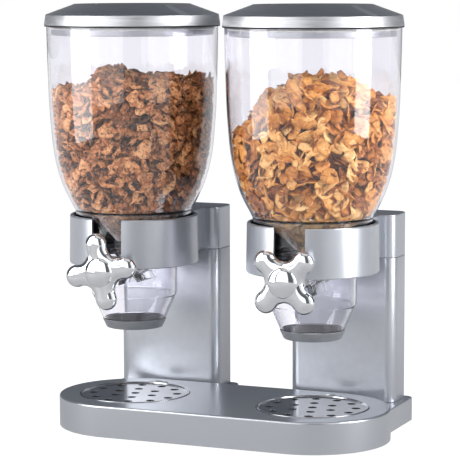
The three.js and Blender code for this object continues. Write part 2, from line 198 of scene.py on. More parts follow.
def lathe(name, profile, segments=144, about="z", sharp=34.0):
    """A solid turned from a closed profile of (radius, distance along the axis)."""
    points, rings = [], []
    for radius, along in profile:
        first = len(points)
        count = segments if radius > 1e-6 else 1
        for k in range(count):
            turn = 2 * math.pi * k / segments
            c, s = radius * math.cos(turn), radius * math.sin(turn)
            points.append((c, s, along) if about == "z" else (c, along, s))
        rings.append([first + k % count for k in range(segments)])
    faces = []
    for a, b in zip(rings, rings[1:] + rings[:1]):
        for i in range(segments):
            j = (i + 1) % segments
            corners = list(dict.fromkeys((a[i], a[j], b[j], b[i])))
            if len(corners) > 2:
                faces.append(corners)
    return make(name, points, faces, sharp)


def loft(name, rings, sharp=34.0, around=False):
    """A solid through rings of points; its two ends are closed unless it goes right around."""
    count = len(rings[0])
    points = [p for ring in rings for p in ring]
    faces = []
    pairs = len(rings) if around else len(rings) - 1
    for a in range(pairs):
        b = (a + 1) % len(rings)
        for i in range(count):
            j = (i + 1) % count
            faces.append((a * count + i, a * count + j, b * count + j, b * count + i))
    if not around:
        faces.append(tuple(reversed(range(count))))
        faces.append(tuple((len(rings) - 1) * count + i for i in range(count)))
    return make(name, points, faces, sharp)


def slab(name, outline, low, high, bottom_edge=0.0, top_edge=0.0):
    """An outline raised from low to high, its bottom and top edges rounded."""
    rings = []
    for edge, face, into in ((bottom_edge, low, 1), (top_edge, high, -1)):
        steps = 6 if edge else 0
        ring = []
        for k in range(steps + 1):
            turn = math.pi / 2 * k / max(steps, 1)
            inset = edge * (1 - math.sin(turn))
            height = face + into * edge * (1 - math.cos(turn))
            ring.append([(x, y, height) for x, y in outline(inset)])
        rings += ring if into > 0 else list(reversed(ring))
    return loft(name, rings)


def tube(name, outline, wall, low, high, edge=0.4):
    """An open-ended box section with its rims rounded."""
    rings = []
    for inset, height in rounded(
        [(0, low), (0, high), (wall, high), (wall, low)], [edge] * 4, 3
    ):
        rings.append([(x, y, height) for x, y in outline(inset)])
    return loft(name, rings, around=True)


def combine(piece, tool, operation):
    """Joins or cuts a piece with another, which is used up."""
    modifier = piece.modifiers.new(operation, "BOOLEAN")
    modifier.operation = operation
    modifier.solver = "EXACT"
    modifier.object = tool
    apply_modifiers(piece)
    bpy.data.objects.remove(tool)
    return finish_mesh(piece)


def apply_modifiers(piece):
    bpy.context.view_layer.update()
    graph = bpy.context.evaluated_depsgraph_get()
    mesh = bpy.data.meshes.new_from_object(piece.evaluated_get(graph))
    piece.modifiers.clear()
    piece.data = mesh
    return piece


def cut(piece, *tools):
    for tool in tools:
        combine(piece, tool, "DIFFERENCE")
    return piece


def joined(piece, *others):
    for other in others:
        combine(piece, other, "UNION")
    return piece


def gathered(pieces):
    """One piece that holds the meshes of several separate ones, which are used up."""
    first, *others = pieces
    mesh = bmesh.new()
    for piece in pieces:
        mesh.from_mesh(piece.data)
    mesh.to_mesh(first.data)
    mesh.free()
    for other in others:
        bpy.data.objects.remove(other)
    return first


def bevelled(piece, width, segments=3, angle=40.0):
    modifier = piece.modifiers.new("bevel", "BEVEL")
    modifier.width = width * MM
    modifier.segments = segments
    modifier.limit_method = "ANGLE"
    modifier.angle_limit = math.radians(angle)
    apply_modifiers(piece)
    return finish_mesh(piece)


def shifted(piece, x=0.0, y=0.0, z=0.0):
    piece.data.transform(Matrix.Translation(Vector((x, y, z)) * MM))
    return piece


# ---- Materials ----

def node(tree, kind, inputs=None, **settings):
    """A shader node; each input is linked if it is given a socket and set if not."""
    made = tree.nodes.new(kind)
    for key, value in settings.items():
        setattr(made, key, value)
    for key, value in (inputs or {}).items():
        if isinstance(value, bpy.types.NodeSocket):
            tree.links.new(value, made.inputs[key])
        else:
            made.inputs[key].default_value = value
    return made


def new_material(name, **values):
    """A material with one Principled shader, and its tree and shader."""
    material = bpy.data.materials.new(name)
    material.use_nodes = True
    tree = material.node_tree
    shader = tree.nodes["Principled BSDF"]
    for key, value in values.items():
        shader.inputs[key.replace("_", " ")].default_value = value
    return material, tree, shader


def object_coords(tree):
    return node(tree, "ShaderNodeTexCoord").outputs["Object"]


def noise(tree, vector, scale, detail=3.0, roughness=0.5):
    return node(tree, "ShaderNodeTexNoise", {
        "Vector": vector, "Scale": scale, "Detail": detail, "Roughness": roughness,
    }).outputs["Fac"]


def remap(tree, value, low, high, out_low, out_high):
    return node(tree, "ShaderNodeMapRange", {
        "Value": value, "From Min": low, "From Max": high, "To Min": out_low, "To Max": out_high,
    }).outputs["Result"]


def mixed(tree, factor, first, second, blend="MIX"):
    return node(tree, "ShaderNodeMix", {0: factor, 6: first, 7: second},
                data_type="RGBA", blend_type=blend).outputs[2]


def ramp(tree, factor, stops):
    made = node(tree, "ShaderNodeValToRGB", {"Fac": factor})
    elements = made.color_ramp.elements
    elements[0].position, elements[0].color = stops[0][0], (*stops[0][1], 1)
    elements[1].position, elements[1].color = stops[-1][0], (*stops[-1][1], 1)
    for position, colour in stops[1:-1]:
        elements.new(position).color = (*colour, 1)
    return made.outputs["Color"]


def bump(tree, shader, height, strength, distance):
    made = node(tree, "ShaderNodeBump", {
        "Height": height, "Strength": strength, "Distance": distance,
    })
    tree.links.new(made.outputs["Normal"], shader.inputs["Normal"])


def edge_share(tree, strength=1.0):
    """The strength on the convex edges of a piece, 0 on its flat parts."""
    point = node(tree, "ShaderNodeNewGeometry").outputs["Pointiness"]
    return remap(tree, point, 0.52, 0.6, 0.0, strength)


def painted(name, colour, metallic, rough, coat=0.0, edges=0.3):
    """Silver paint: fine metal flake, a slight orange peel and lighter, worn edges."""
    material, tree, shader = new_material(name, Metallic=metallic, Coat_Weight=coat)
    shader.inputs["Coat Roughness"].default_value = 0.08
    coords = object_coords(tree)
    flake = node(tree, "ShaderNodeTexVoronoi", {"Vector": coords, "Scale": 2600.0})
    flakes = remap(tree, flake.outputs["Distance"], 0.0, 0.8, 0.0, 1.0)
    cloud = noise(tree, coords, 22.0, 4.0)
    dark = tuple(c * 0.975 for c in colour) + (1,)
    light = tuple(min(1.0, c * 1.02) for c in colour) + (1,)
    base = mixed(tree, flakes, light, dark)
    base = mixed(tree, remap(tree, cloud, 0.35, 0.65, 0.0, 0.06), base, dark)
    worn = node(tree, "ShaderNodeMath", {0: edge_share(tree, edges), 1: noise(tree, coords, 140.0)},
                operation="MULTIPLY").outputs[0]
    base = mixed(tree, worn, base, (0.86, 0.87, 0.89, 1))
    tree.links.new(base, shader.inputs["Base Color"])
    tree.links.new(remap(tree, cloud, 0.3, 0.7, rough - 0.005, rough + 0.005),
                   shader.inputs["Roughness"])
    bump(tree, shader, noise(tree, coords, 1300.0, 2.0), 0.01, 0.0002)
    return material


def brushed(name, colour, rough, lines=2600.0):
    """Steel brushed in circles round the piece's own axis."""
    material, tree, shader = new_material(name, Metallic=1.0, Anisotropic=0.45)
    split = node(tree, "ShaderNodeSeparateXYZ", {0: object_coords(tree)})
    x, y, z = (split.outputs[i] for i in range(3))
    squares = [node(tree, "ShaderNodeMath", {0: v, 1: v}, operation="MULTIPLY").outputs[0]
               for v in (x, y)]
    total = node(tree, "ShaderNodeMath", {0: squares[0], 1: squares[1]}, operation="ADD")
    radius = node(tree, "ShaderNodeMath", {0: total.outputs[0]}, operation="SQRT").outputs[0]
    turn = node(tree, "ShaderNodeMath", {0: y, 1: x}, operation="ARCTAN2").outputs[0]
    slow = node(tree, "ShaderNodeMath", {0: turn, 1: 0.0016}, operation="MULTIPLY").outputs[0]
    vector = node(tree, "ShaderNodeCombineXYZ", {0: radius, 1: z, 2: slow}).outputs[0]
    lined = noise(tree, vector, lines, 3.0, 0.7)
    broad = noise(tree, vector, lines / 9, 2.0)
    dark = tuple(c * 0.78 for c in colour) + (1,)
    light = tuple(min(1.0, c * 1.14) for c in colour) + (1,)
    base = mixed(tree, remap(tree, lined, 0.3, 0.7, 0.0, 1.0), dark, light)
    base = mixed(tree, remap(tree, broad, 0.35, 0.65, 0.0, 0.4), base, dark)
    base = mixed(tree, edge_share(tree), base, (0.9, 0.9, 0.91, 1))
    tree.links.new(base, shader.inputs["Base Color"])
    tree.links.new(remap(tree, lined, 0.3, 0.7, rough - 0.07, rough + 0.09),
                   shader.inputs["Roughness"])
    tangent = node(tree, "ShaderNodeTangent", direction_type="RADIAL", axis="Z")
    tree.links.new(tangent.outputs[0], shader.inputs["Tangent"])
    bump(tree, shader, lined, 0.12, 0.0002)
    return material


def polished(name, colour, rough, edges=1.0):
    """Polished metal with faint smudges, hairline scratches and brighter edges."""
    material, tree, shader = new_material(name, Metallic=1.0)
    coords = object_coords(tree)
    smudge = noise(tree, coords, 60.0, 4.0, 0.6)
    long_way = node(tree, "ShaderNodeMapping", {"Vector": coords, "Scale": (0.04, 1.0, 1.0)})
    hairline = noise(tree, long_way.outputs[0], 1500.0, 2.0)
    dull = tuple(c * 0.92 for c in colour) + (1,)
    base = mixed(tree, remap(tree, smudge, 0.4, 0.7, 0.0, 1.0), (*colour, 1), dull)
    base = mixed(tree, edge_share(tree, edges), base, (0.93, 0.93, 0.94, 1))
    tree.links.new(base, shader.inputs["Base Color"])
    streak = node(tree, "ShaderNodeMath", {
        0: remap(tree, smudge, 0.35, 0.7, rough, rough + 0.06),
        1: remap(tree, hairline, 0.6, 0.8, 0.0, 0.03),
    }, operation="ADD").outputs[0]
    tree.links.new(streak, shader.inputs["Roughness"])
    bump(tree, shader, noise(tree, coords, 300.0, 1.0), 0.015, 0.0002)
    return material


def moulded(name, colour, rough, grain=1400.0, depth=0.15):
    """Moulded plastic or rubber: a fine grain, uneven gloss and slightly paler edges."""
    material, tree, shader = new_material(name)
    coords = object_coords(tree)
    cloud = noise(tree, coords, 45.0, 4.0)
    dark = tuple(c * 0.86 for c in colour) + (1,)
    light = tuple(min(1.0, c * 1.1 + 0.004) for c in colour) + (1,)
    pale = tuple(min(1.0, c * 1.3 + 0.02) for c in colour) + (1,)
    base = mixed(tree, remap(tree, cloud, 0.35, 0.65, 0.0, 1.0), dark, light)
    base = mixed(tree, edge_share(tree), base, pale)
    tree.links.new(base, shader.inputs["Base Color"])
    tree.links.new(remap(tree, cloud, 0.3, 0.7, rough - 0.06, rough + 0.07),
                   shader.inputs["Roughness"])
    bump(tree, shader, noise(tree, coords, grain, 2.0), depth, 0.0003)
    return material


def clear_plastic(name, tint, rough=0.012, bend=1.45):
    """Clear plastic: bends light, lets lamps through, and carries faint scuffs; its colour is
    darkened towards grazing angles as a painted shade on its rims.
    """
    material, tree, shader = new_material(name, Transmission_Weight=1.0, IOR=bend)
    coords = object_coords(tree)
    stretched = node(tree, "ShaderNodeMapping", {"Vector": coords, "Scale": (1.0, 1.0, 0.12)})
    scuff = noise(tree, stretched.outputs[0], 170.0, 5.0, 0.65)
    tree.links.new(remap(tree, scuff, 0.5, 0.8, rough, rough + 0.05), shader.inputs["Roughness"])
    haze = mixed(tree, remap(tree, scuff, 0.45, 0.75, 0.0, 1.0),
                 (*tint, 1), tuple(c * 0.985 for c in tint) + (1,))
    # Painted shade: the colour turns a dull violet grey where the surface is seen edge-on
    painted_rim_shade_mask = node(tree, "ShaderNodeLayerWeight", {"Blend": 0.5}).outputs["Facing"]
    rim = mixed(tree, remap(tree, painted_rim_shade_mask, 0.78, 0.98, 0.0, 1.0), haze, (0.55, 0.5, 0.56, 1))
    tree.links.new(rim, shader.inputs["Base Color"])
    lamp = node(tree, "ShaderNodeLightPath").outputs["Is Shadow Ray"]
    through = node(tree, "ShaderNodeBsdfTransparent", {"Color": (0.95, 0.96, 0.97, 1)})
    both = node(tree, "ShaderNodeMixShader", {
        0: lamp, 1: shader.outputs[0], 2: through.outputs[0],
    })
    tree.links.new(both.outputs[0], tree.nodes["Material Output"].inputs["Surface"])
    return material


def baked_flake(name, stops, rough, speckle, rugged):
    """Toasted cereal: its tone differs from flake to flake and also carries painted shade and
    painted light, with blisters, pits and crumbs.
    """
    material, tree, shader = new_material(name)
    coords = object_coords(tree)
    tone = node(tree, "ShaderNodeAttribute", attribute_name="tone").outputs["Fac"]
    patch = noise(tree, coords, 260.0, 4.0, 0.7)
    shade = node(tree, "ShaderNodeMath", {
        0: tone, 1: remap(tree, patch, 0.3, 0.7, -rugged, rugged),
    }, operation="ADD").outputs[0]
    base = ramp(tree, shade, stops)
    pits = remap(tree, noise(tree, coords, 430.0, 3.0, 0.6), 0.54, 0.64, 0.0, speckle)
    base = mixed(tree, pits, base, (*stops[0][1], 1))
    crumbs = remap(tree, noise(tree, coords, 360.0, 4.0, 0.7), 0.54, 0.7, 0.0, speckle * 0.7)
    base = mixed(tree, crumbs, base, (*stops[-1][1], 1))
    tree.links.new(base, shader.inputs["Base Color"])
    tree.links.new(remap(tree, patch, 0.3, 0.7, rough - 0.08, rough + 0.1),
                   shader.inputs["Roughness"])
    bump(tree, shader, noise(tree, coords, 330.0, 4.0, 0.7), rugged * 2, 0.0025)
    return material


silver = painted("silver_paint", (0.53, 0.55, 0.6), 0.75, 0.3)
platform_grey = painted("platform_paint", (0.6, 0.625, 0.67), 0.88, 0.28, 0.0, 0.0)
steel_ring = brushed("brushed_steel", (0.7, 0.71, 0.73), 0.37)
tray_steel = polished("tray_steel", (0.56, 0.57, 0.6), 0.14, 0.0)
plug_steel = brushed("plug_steel", (0.4, 0.41, 0.43), 0.34)
chrome = polished("chrome", (0.82, 0.83, 0.86), 0.02)
clear = clear_plastic("clear_plastic", (0.935, 0.93, 0.97))
clear_inner = clear_plastic("clear_inner", (0.975, 0.975, 0.98), bend=1.18)
grey_plastic = moulded("grey_plastic", (0.22, 0.23, 0.25), 0.32)
pale_plastic = moulded("pale_plastic", (0.55, 0.56, 0.58), 0.4)
# Near-black plastic used only as painted shade inside shaded hollows
painted_shade_plastic = moulded("painted_shade_plastic", (0.05, 0.052, 0.058), 0.4)
# Near-black plastic for leftover parts; it is also painted shade in the platform's wells and inside
# the tray's holes
dark_plastic = moulded("dark_plastic", (0.022, 0.023, 0.026), 0.55)
silicone = moulded("silicone", (0.62, 0.62, 0.59), 0.6, 700.0, 0.08)
clear_silicone = clear_plastic("clear_silicone", (0.97, 0.97, 0.97), 0.06, 1.25)
rubber = moulded("foot_rubber", (0.012, 0.012, 0.013), 0.8, 2200.0, 0.3)
screw_steel = brushed("screw_steel", (0.5, 0.51, 0.53), 0.36)
bran = baked_flake("bran_flakes", [
    (0.0, (0.025, 0.008, 0.003)), (0.3, (0.25, 0.078, 0.02)),
    (0.6, (0.66, 0.245, 0.08)), (1.0, (0.95, 0.5, 0.22)),
], 0.6, 0.85, 0.4)
corn = baked_flake("corn_flakes", [
    (0.0, (0.2, 0.045, 0.004)), (0.3, (0.6, 0.2, 0.022)),
    (0.65, (0.84, 0.39, 0.085)), (1.0, (0.96, 0.62, 0.25)),
], 0.42, 0.45, 0.24)


def place(piece, material, body, slot, *nodes, at=(0, 0, 0), turn=0.0):
    """Puts a finished piece in the frame, on its body, in place of its CAD nodes."""
    piece.data.materials.clear()
    piece.data.materials.append(material)
    piece.location = Vector(at) * MM
    piece.rotation_euler = (0, math.radians(turn), 0)
    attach(piece, body)
    if nodes:
        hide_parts(*nodes)
    return piece


def evenly_shaded(piece):
    """Keeps broad flat faces flat where they meet small rounded edges."""
    weighted = piece.modifiers.new("even", "WEIGHTED_NORMAL")
    weighted.keep_sharp = True
    apply_modifiers(piece)
    return piece


def repaint(piece, material, inside):
    """Gives a second material to the faces whose middles, in millimetres, are inside."""
    piece.data.materials.append(material)
    for face in piece.data.polygons:
        if inside(face.center / MM):
            face.material_index = 1


# ---- Base ----

def make_platform():
    shell = slab("platform_shell", lambda inset: stadium(BASE_R - inset), BASE_BOTTOM, BASE_TOP,
                 0.5, 2.0)
    hollow = slab("platform_hollow", lambda inset: stadium(BASE_R - BASE_WALL - inset),
                  0.0, BASE_TOP - BASE_WALL)
    cutters = []
    lip = 0.7
    for x in UNIT_X.values():
        notch_y = AXIS_Y + WELL_R + 1
        for radius, floor, y, wall in (
            (WELL_R, WELL_FLOOR, AXIS_Y, 3.2), (NOTCH_R, NOTCH_FLOOR, notch_y, 2.4),
        ):
            cup = lathe("cup", [(0, floor - 2.4), (radius + wall, floor - 2.4),
                                (radius + wall, BASE_TOP), (0, BASE_TOP)], 96)
            cut(hollow, shifted(cup, x, y))
            flare = [(radius + lip * (1 - math.sin(t)), BASE_TOP - lip * (1 - math.cos(t)))
                     for t in (math.pi / 2 * k / 4 for k in range(5))]
            profile = [(0, floor), (radius, floor), *reversed(flare),
                       (radius + lip, BASE_TOP + 2), (0, BASE_TOP + 2)]
            cutters.append(shifted(lathe("well", profile, 128), x, y))
    cut(shell, hollow, *cutters)
    shell.name = "platform"
    return evenly_shaded(shell)


def make_foot(side):
    x = UNIT_X[side]
    block = slab("foot_block", foot_outline, BASE_BOTTOM, FOOT_TOP, 0.5, 1.0)
    hollow = slab("foot_hollow", lambda inset: foot_outline(BASE_WALL + inset),
                  0.0, FOOT_TOP - BASE_WALL)

    def around(extra):
        return lambda inset: [(px - x, py - AXIS_Y) for px, py in stadium(BASE_R + extra)]

    cut(hollow, slab("clearance", around(0.3 + BASE_WALL), -1, BASE_TOP + 2))
    cut(block, slab("around", around(0.3), -1, BASE_TOP + 2), hollow)
    block.name = f"foot_{side}"
    return block


def make_pad(spot, side):
    profile = rounded([(0, 0), (7, 0), (7, 2), (0, 2)], [0, 0.6, 0.2, 0], 4)
    return lathe(f"pad_{spot}_{side}", profile, 48)


def make_tray(side):
    profile = rounded(
        [(50.5, 15.4), (50.5, 30.6), (48.9, 30.6), (48.1, 29.2), (0, 29.2), (0, 27.6),
         (48.9, 27.6), (48.9, 15.4)],
        [0.3, 0.6, 0.6, 0.5, 0, 0, 0.8, 0.3], 3)
    tray = lathe("tray", profile, 144)
    holes = []
    for radius, count in ((0.0, 1), (19.6, 6), (39.0, 12)):
        for k in range(count):
            angle = math.radians(90 + 16 + 360 * k / count)
            flare = [(3.9, 26.0), (3.9, 29.0), (3.95, 29.12), (4.08, 29.25), (4.08, 30.0)]
            hole = lathe("hole", [(0, 26.0), *flare, (0, 30.0)], 32)
            holes.append(shifted(hole, radius * math.cos(angle), radius * math.sin(angle)))
    cut(tray, gathered(holes))
    tray.name = f"tray_{side}"
    return evenly_shaded(tray)


# ---- Column and bracket ----

def make_bracket(side):
    roof = BRACKET_TOP - COLUMN_WALL
    cap = slab("bracket", column_outline, SEAM_Z, BRACKET_TOP, 0.3, 1.0)
    hollow = slab("cap_hollow", lambda inset: column_outline(COLUMN_WALL + inset),
                  SEAM_Z - 1, roof)

    def arm_outline(wall):
        return lambda inset: rectangle(ARM_HALF - wall - inset, 30 - wall, COLUMN_FRONT + 8, 0.5)

    arm = slab("arm", arm_outline(0), SEAM_Z, BRACKET_TOP, 0.3, 1.0)
    collar_bar = lathe("collar_bar", [(0, COLLAR_BOTTOM), (58.7, COLLAR_BOTTOM),
                                      (COLLAR_R, COLLAR_BOTTOM + 0.8), (58.6, BRACKET_TOP - 1.0),
                                      (57.9, BRACKET_TOP), (0, BRACKET_TOP)], 160)
    arm_hollow = slab("arm_hollow", arm_outline(COLUMN_WALL), SEAM_Z - 1, roof)
    keep = lathe("keep", [(0, 140), (COLLAR_R, 140), (COLLAR_R, 210), (0, 210)], 160)
    cut(arm_hollow, keep)
    joined(cap, arm, collar_bar)
    cut(cap, hollow, arm_hollow)
    ledge_low, ledge_high = LEDGE_Z
    bore = lathe("bore", [(0, 150), (COLLAR_BORE, 150), (COLLAR_BORE, ledge_low),
                          (LEDGE_BORE, ledge_low), (LEDGE_BORE, ledge_high),
                          (COLLAR_BORE, ledge_high), (COLLAR_BORE, BRACKET_TOP - 0.8),
                          (COLLAR_BORE + 0.7, BRACKET_TOP + 0.1), (COLLAR_BORE + 0.7, 200),
                          (0, 200)], 160)
    cut(cap, bore)
    half = COLLAR_SLOT / 2
    slot = slab("slot", lambda inset: rectangle(half, -75, -40, 0.4), 140, 210)
    cut(cap, slot)
    bevelled(cap, 0.7, 3, 50.0)
    cap.name = f"bracket_{side}"
    return evenly_shaded(cap)


# ---- Clear parts ----

def inner_radius(height):
    """The hopper's inner radius at a height."""
    outer = smooth_curve(HOPPER)
    for (r1, z1), (r0, z0) in zip(outer, outer[1:]):
        if z0 <= height <= z1:
            return r0 + (r1 - r0) * (height - z0) / (z1 - z0) - CLEAR_WALL
    return (outer[0] if height > outer[0][1] else outer[-1])[0] - CLEAR_WALL


def make_hopper(side):
    outer = smooth_curve(HOPPER)
    inner = [(r - CLEAR_WALL, z) for r, z in reversed(outer)]
    return lathe(f"hopper_{side}", outer + inner, 192, sharp=50)


def make_funnel(side):
    profile = rounded(
        [(50.9, 170.8), (50.9, 204), (16.5, 175), (16.5, 173.2), (49.4, 201), (49.4, 170.8)],
        [0.4, 1.2, 0.6, 0.4, 1.0, 0.4], 4)
    return lathe(f"funnel_{side}", profile, 144)


def make_chute(side):
    outer = smooth_curve(CHUTE)
    inner = [(r - 2.2, z) for r, z in reversed(outer)]
    flange = [(37.3, 170.5), (51.0, 170.5), (51.0, 168.0)]
    chute = lathe("chute", outer + inner + flange, 160)
    bore = lathe("bearing_bore", [(0, -45), (6, -45), (6, 45), (0, 45)], 48, "y")
    cut(chute, shifted(bore, z=KNOB_Z))
    chute.name = f"chute_{side}"
    return chute


def make_outlet(side):
    profile = rounded(
        [(25.9, 92.6), (29.2, 99.7), (29.2, 100.6), (26.0, 100.6), (24.1, 92.6)],
        [0.7, 0.8, 0.3, 0.4, 0.7], 4)
    return lathe(f"outlet_{side}", profile, 144)


def make_lid(side):
    profile = rounded(
        [(79, 370), (80.2, 370), (78.8, 379.4), (54.0, 388.4), (53.0, 389.0), (50.8, 387.8),
         (0, 387.8), (0, 386.4), (53, 386.4), (77.6, 378.4)],
        [0.3, 0.3, 1.3, 0.8, 0.7, 0.7, 0, 0, 0.4, 0.6], 6)
    return lathe(f"lid_{side}", profile, 192, sharp=50)


def make_plug(side):
    """The lid's skirt, which stands inside the hopper's rim."""
    profile = rounded(
        [(74, 361), (74, 378.7), (0, 378.7), (0, 377.2), (72.5, 377.2), (72.5, 361)],
        [0.5, 0.8, 0, 0, 0.5, 0.5], 4)
    return lathe(f"plug_{side}", profile, 160)


def make_seal(side):
    profile = rounded([(74.3, 366), (75.8, 367.2), (74.3, 368.4)], [0.1, 0.5, 0.1], 4)
    return lathe(f"seal_{side}", profile, 144)


def make_painted_gap_shade(side):
    """A near-black ring under the lid's edge: painted shade for the gap between the lid and the
    hopper.
    """
    profile = rounded([(78.6, 368.7), (79.9, 368.7), (79.9, 370.2), (78.6, 370.2)], [0.2] * 4, 3)
    return lathe(f"lid_painted_gap_shade_{side}", profile, 160)


# ---- Agitator, about its own +Y axis ----

def knob_outline(inset):
    """Four round lobes joined by hollow webs, moved inwards by inset."""
    lobe_at, lobe, web_at = 24.8, 10.1, 28.9
    reach = web_at * math.sqrt(0.5)
    web = math.hypot(lobe_at - reach, reach) - lobe
    lean = math.atan2(reach, reach - lobe_at)
    made = []
    for k in range(4):
        angle = math.pi / 2 * k
        diagonal = angle + math.pi / 4
        made += arc(lobe_at * math.cos(angle), lobe_at * math.sin(angle), lobe - inset,
                    angle - lean, angle + lean, 22)
        made += arc(web_at * math.cos(diagonal), web_at * math.sin(diagonal), web + inset,
                    angle + lean + math.pi, angle + math.pi * 1.5 - lean, 14)[1:-1]
    return made


def make_knob(side):
    """A pillow-shaped knob: its outline shrinks as it swells to the front and the back."""
    back, front, deepest, steps = -62.0, -74.6, 9.6, 16
    middle, half = (back + front) / 2, (back - front) / 2
    rings = []
    for k in range(-steps, steps + 1):
        turn = math.pi / 2 * k / steps
        inset = deepest * (1 - math.cos(turn) ** 0.8)
        rings.append([(x, middle - half * math.sin(turn), z) for x, z in knob_outline(inset)])
    knob = loft(f"knob_{side}", rings, 80)
    smoothing = knob.modifiers.new("smooth", "SMOOTH")
    smoothing.factor = 0.5
    smoothing.iterations = 2
    apply_modifiers(knob)
    return finish_mesh(knob, 80)


def make_knob_cap(side):
    rise = 5.2
    dome = [(13.5 * math.cos(t), -73.4 - rise * math.sin(t))
            for t in (math.pi / 2 * k / 16 for k in range(17))]
    return lathe(f"knob_cap_{side}", [(0, -71.0), (13.0, -71.0), *dome[:-1], (0, -78.6)],
                 96, "y", 60)


def make_paddle(side):
    sleeve, half_t, tip = 11.2, 0.9, 19.1
    root = math.asin(half_t / sleeve)
    outline = []
    for k in range(6):
        angle = math.pi / 3 * k
        along = Vector((math.cos(angle), math.sin(angle)))
        end = along * tip
        outline += arc(end.x, end.y, half_t, angle - math.pi / 2, angle + math.pi / 2, 8)
        outline += arc(0, 0, sleeve, angle + root, angle + math.pi / 3 - root, 6)
    rings = [[(x, y, z) for x, z in outline] for y in (-19.7, 19.7)]
    wheel = loft("paddle", rings)
    cut(wheel, lathe("paddle_bore", [(0, -25), (9.3, -25), (9.3, 25), (0, 25)], 64, "y"))
    bevelled(wheel, 0.3, 2, 50.0)
    wheel.name = f"paddle_{side}"
    return wheel


def make_hub(side):
    profile = rounded([(4.4, -20.3), (9, -20.3), (9, 20.3), (4.4, 20.3)], [0.3, 0.6, 0.6, 0.3], 3)
    return lathe(f"hub_{side}", profile, 64, "y")


def make_shaft(side):
    profile = rounded([(0, 42), (4.1, 42), (4.1, -67.5), (0, -67.5)], [0, 0.5, 0.5, 0], 3)
    return lathe(f"shaft_{side}", profile, 48, "y")


def make_bush(side, place_name, sign, outer, blind):
    """A flanged bearing bush; the rear one is closed behind the shaft's end."""
    profile = [(4.4, 36.8), (5.7, 36.8), (5.7, 40.3), (11, 40.3), (11, outer)]
    radii = [0.3, 0.3, 0.3, 0.8, 1.2]
    if blind:
        profile += [(0, outer), (0, outer - 1.5), (4.4, outer - 1.5)]
        radii += [0, 0, 0.3]
    else:
        profile += [(4.4, outer)]
        radii += [0.4]
    turned = [(r, sign * y) for r, y in rounded(profile, radii, 4)]
    return lathe(f"{place_name}_bush_{side}", turned, 96, "y")


# ---- Cereal ----

def flake_shape(rng, curl, thick, jag, sectors, rings):
    """One flake of unit radius as points, faces and a tone for each point: a lumpy, curled
    sheet with a ragged edge, closed all round and toasted darker towards its rim."""
    wobble = [(rng.uniform(0.3, 1.0) * jag / k ** 0.5, rng.uniform(0, 6.28), k)
              for k in (2, 3, 5, 7)]
    bend = (rng.uniform(0.4, 1.3) * curl, rng.uniform(-0.6, 0.8) * curl)
    waves = [(rng.uniform(0.3, 1.0), rng.uniform(0, 6.28), rng.uniform(0, 6.28))
             for _ in range(3)]
    squash = rng.uniform(0.6, 1.0)
    flat, shares = [(0.0, 0.0)], [0.0]
    for ring in range(1, rings + 1):
        for k in range(sectors):
            angle = 2 * math.pi * (k + 0.5 * (ring % 2)) / sectors
            reach = ring / rings * (1 + sum(a * math.sin(n * angle + p) for a, p, n in wobble))
            reach *= 1 + rng.uniform(-0.5, 0.5) * jag * (ring == rings)
            flat.append((reach * math.cos(angle), reach * squash * math.sin(angle)))
            shares.append(ring / rings)
    top, under = [], []
    for (x, y), share in zip(flat, shares):
        height = bend[0] * x * x + bend[1] * y * y + rng.uniform(-0.5, 0.5) * jag * 0.5
        height += sum(0.1 * a * math.sin(5 * x + p) * math.sin(5 * y + q) for a, p, q in waves)
        half = thick * (1.0 if share < 0.99 else 0.45)
        top.append((x, y, height + half))
        under.append((x, y, height - half))
    faces = []
    count = len(flat)
    for k in range(sectors):
        n = (k + 1) % sectors
        faces.append((0, 1 + k, 1 + n))
        for ring in range(1, rings):
            a, b = 1 + (ring - 1) * sectors, 1 + ring * sectors
            faces.append((a + k, b + k, b + n, a + n))
    under_faces = [tuple(count + i for i in reversed(f)) for f in faces]
    last = 1 + (rings - 1) * sectors
    edge = [(last + k, count + last + k, count + last + (k + 1) % sectors,
             last + (k + 1) % sectors) for k in range(sectors)]
    tones = np.array([-0.16 * share ** 3 for share in shares] * 2)
    return np.array(top + under), faces + under_faces + edge, tones


def turn_to(normal, spin):
    """A rotation that lays a flake's own Z along normal, spun about it."""
    quaternion = Vector(normal).to_track_quat("Z", "Y")
    return np.array((quaternion.to_matrix() @ Matrix.Rotation(spin, 3, "Z")))


def cereal_wall(z):
    """How far from the axis cereal can lie at a height: the hopper, its funnel, then the throat."""
    funnel_top, throat_top, throat = 204.0, 176.0, 15.0
    if z < throat_top:
        return throat
    if z < funnel_top:
        return throat + (z - throat_top) / (funnel_top - throat_top) * (48.5 - throat)
    return inner_radius(z) - 0.4


class Spread:
    """Points that keep a least distance from each other."""

    def __init__(self, room):
        self.room = room
        self.cells = {}

    def take(self, point):
        key = tuple(int(c // self.room) for c in point)
        for dx in (-1, 0, 1):
            for dy in (-1, 0, 1):
                for dz in (-1, 0, 1):
                    near = self.cells.get((key[0] + dx, key[1] + dy, key[2] + dz), ())
                    if any(math.dist(other, point) < self.room for other in near):
                        return False
        self.cells.setdefault(key, []).append(point)
        return True


